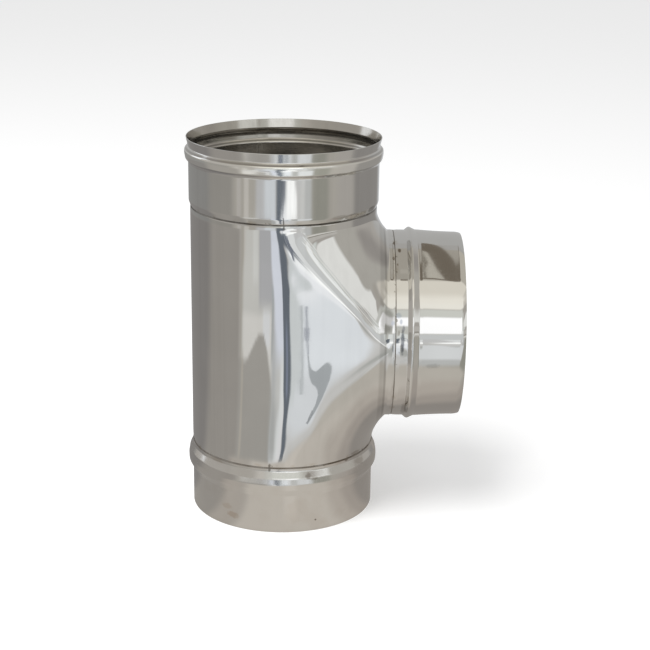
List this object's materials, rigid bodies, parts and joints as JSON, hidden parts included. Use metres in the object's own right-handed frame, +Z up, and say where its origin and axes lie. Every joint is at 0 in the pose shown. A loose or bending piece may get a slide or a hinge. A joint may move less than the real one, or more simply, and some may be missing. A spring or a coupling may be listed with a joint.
{
  "type": "stove pipe tee",
  "caption": "Round steel flue tee with a drawn side outlet, a flared female socket with a seal groove on top, and plain male ends with stop beads below and at the side.",
  "frame": {"origin": "on the main pipe's axis, in the plane of the lower male end's rim", "axes": "+Z is up along the main pipe to the socket, +X points out along the side outlet's axis, and the part is symmetric across the XZ plane"},
  "size_m": [0.2228, 0.1584, 0.3095],
  "materials": {
    "polished_steel": "mirror polished stainless sheet",
    "satin_steel": "duller polished stainless sheet"
  },
  "bodies": {
    "root": {"socket_ring": "polished_steel", "tee_body": "polished_steel", "spigot_ring": "satin_steel", "branch_spigot": "polished_steel"}
  },
  "joints": []
}
